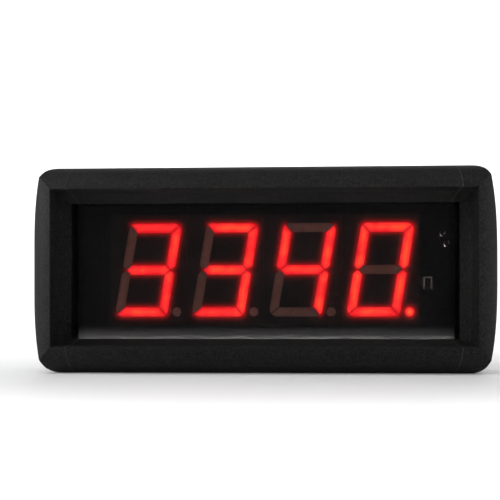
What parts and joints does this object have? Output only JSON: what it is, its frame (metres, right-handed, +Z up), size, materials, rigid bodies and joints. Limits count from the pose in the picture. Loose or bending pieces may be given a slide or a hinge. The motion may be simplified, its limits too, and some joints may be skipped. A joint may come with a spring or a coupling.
{
  "type": "taxi meter",
  "caption": "Taxi meter with a seven-segment LED fare readout behind a dark recessed window, in a shallow black extruded case with moulded end caps.",
  "frame": {"origin": "middle of the case, on the surface it stands on", "axes": "+X to the right as the driver sees the face, +Y from the face to the back, +Z up"},
  "size_m": [0.225, 0.04, 0.1],
  "materials": {
    "black_powder_coat": "fine textured matte powder coat on aluminium extrusion",
    "black_moulding": "fine textured moulded ABS",
    "black_screw": "black oxide",
    "smoked_acrylic": "polished smoked acrylic",
    "foam_seal": "closed-cell foam",
    "black_sheet": "satin black powder-coated sheet",
    "module_shell": "satin moulded shell, ink-black face",
    "tinned_metal": "tinned",
    "unlit_segment": "cast epoxy, dark",
    "clear_epoxy": "smoky clear epoxy, glossy dome",
    "circuit_board": "black solder mask over a fibreglass board",
    "infrared_black": "infrared-pass epoxy",
    "tin_shield": "bright tinned sheet",
    "chip_black": "moulded epoxy",
    "resistor_black": "glazed ceramic",
    "crystal_can": "drawn can",
    "ferrite": "sintered ferrite",
    "capacitor_sleeve": "shrunk sleeve",
    "buzzer_black": "moulded",
    "cell_steel": "stainless",
    "switch_case": "moulded with a metal cover",
    "switch_stem": "moulded",
    "key_cap": "silicone",
    "rocker_black": "moulded nylon",
    "brass_terminal": "stamped",
    "socket_black": "moulded",
    "nickel_nut": "nickel plated",
    "black_rubber": "moulded rubber",
    "red_insulation": "PVC",
    "black_insulation": "PVC",
    "white_nylon": "moulded nylon",
    "lit_segment": "cast epoxy, lit from behind"
  },
  "bodies": {
    "meter": {"top_rail": "black_powder_coat", "bottom_rail": "black_powder_coat", "left_end_cap": "black_moulding", "right_end_cap": "black_moulding", "cap_screws": "black_screw", "front_window": "smoked_acrylic", "window_seal": "foam_seal", "back_panel": "black_sheet", "digit_1_body": "module_shell", "digit_1_lit_segments": "lit_segment", "digit_1_unlit_segments": "unlit_segment", "digit_1_pins": "tinned_metal", "digit_2_body": "module_shell", "digit_2_lit_segments": "lit_segment", "digit_2_unlit_segments": "unlit_segment", "digit_2_pins": "tinned_metal", "digit_3_body": "module_shell", "digit_3_lit_segments": "lit_segment", "digit_3_unlit_segments": "unlit_segment", "digit_3_pins": "tinned_metal", "digit_4_body": "module_shell", "digit_4_lit_segments": "lit_segment", "digit_4_unlit_segments": "unlit_segment", "digit_4_pins": "tinned_metal", "display_board": "circuit_board", "infrared_receiver": "infrared_black", "receiver_shield": "tin_shield", "light_sensor": "clear_epoxy", "status_lamp": "clear_epoxy", "microcontroller": "chip_black", "microcontroller_leads": "tinned_metal", "driver_chips": "chip_black", "driver_chip_leads": "tinned_metal", "segment_resistors": "resistor_black", "clock_crystal": "crystal_can", "voltage_regulator": "chip_black", "power_inductor": "ferrite", "filter_capacitors": "capacitor_sleeve", "buzzer": "buzzer_black", "coin_cell": "cell_steel", "coin_cell_clip": "cell_steel", "key_switches": "switch_case", "rocker_housing": "rocker_black", "rocker_terminals": "brass_terminal", "power_socket": "socket_black", "power_socket_pin": "brass_terminal", "power_socket_nut": "nickel_nut", "cable_grommet": "black_rubber", "red_leads": "red_insulation", "black_lead": "black_insulation", "lead_header": "white_nylon"},
    "key_1_button": {"key_1": "key_cap", "key_stem_1": "switch_stem"},
    "key_2_button": {"key_2": "key_cap", "key_stem_2": "switch_stem"},
    "key_3_button": {"key_3": "key_cap", "key_stem_3": "switch_stem"},
    "key_4_button": {"key_4": "key_cap", "key_stem_4": "switch_stem"},
    "power_rocker": {"rocker_paddle": "rocker_black"}
  },
  "joints": [
    {"name": "key_1_press", "type": "slide", "parent": "meter", "child": "key_1_button", "axis": [0, -1, 0], "range_m": [0, 0.0008], "stiffness_N_per_m": 900, "springref_m": -0.0004},
    {"name": "key_2_press", "type": "slide", "parent": "meter", "child": "key_2_button", "axis": [0, -1, 0], "range_m": [0, 0.0008], "stiffness_N_per_m": 900, "springref_m": -0.0004},
    {"name": "key_3_press", "type": "slide", "parent": "meter", "child": "key_3_button", "axis": [0, -1, 0], "range_m": [0, 0.0008], "stiffness_N_per_m": 900, "springref_m": -0.0004},
    {"name": "key_4_press", "type": "slide", "parent": "meter", "child": "key_4_button", "axis": [0, -1, 0], "range_m": [0, 0.0008], "stiffness_N_per_m": 900, "springref_m": -0.0004},
    {"name": "power_rocker_tilt", "type": "hinge", "parent": "meter", "child": "power_rocker", "pos_m": [-0.045, 0.01795, 0.0146], "axis": [0, 0, 1], "range_deg": [0, 18]}
  ]
}
